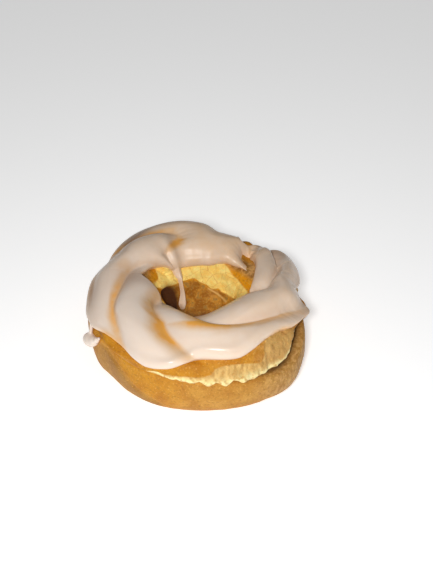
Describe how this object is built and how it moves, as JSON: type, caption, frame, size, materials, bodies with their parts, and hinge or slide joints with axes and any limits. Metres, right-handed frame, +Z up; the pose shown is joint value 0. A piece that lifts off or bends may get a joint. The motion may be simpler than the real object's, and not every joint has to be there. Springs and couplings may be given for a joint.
{
  "type": "iced choux pastry ring",
  "caption": "Round choux pastry ring of twisted piped strands on a wide soft base, burst along the side and in the hole, under a thick coat of pale sugar icing.",
  "frame": {"origin": "middle of the box round the ring, on the surface that it stands on", "axes": "+Z up out of the flat underside, -Y towards the side shown in the picture"},
  "size_m": [0.0858, 0.0864, 0.0393],
  "materials": {
    "crust": "baked golden brown crust, slightly rough, paler where it has burst",
    "icing": "set sugar icing, smooth and slightly glossy"
  },
  "bodies": {
    "root": {"choux_ring": "crust", "icing": "icing"}
  },
  "joints": []
}
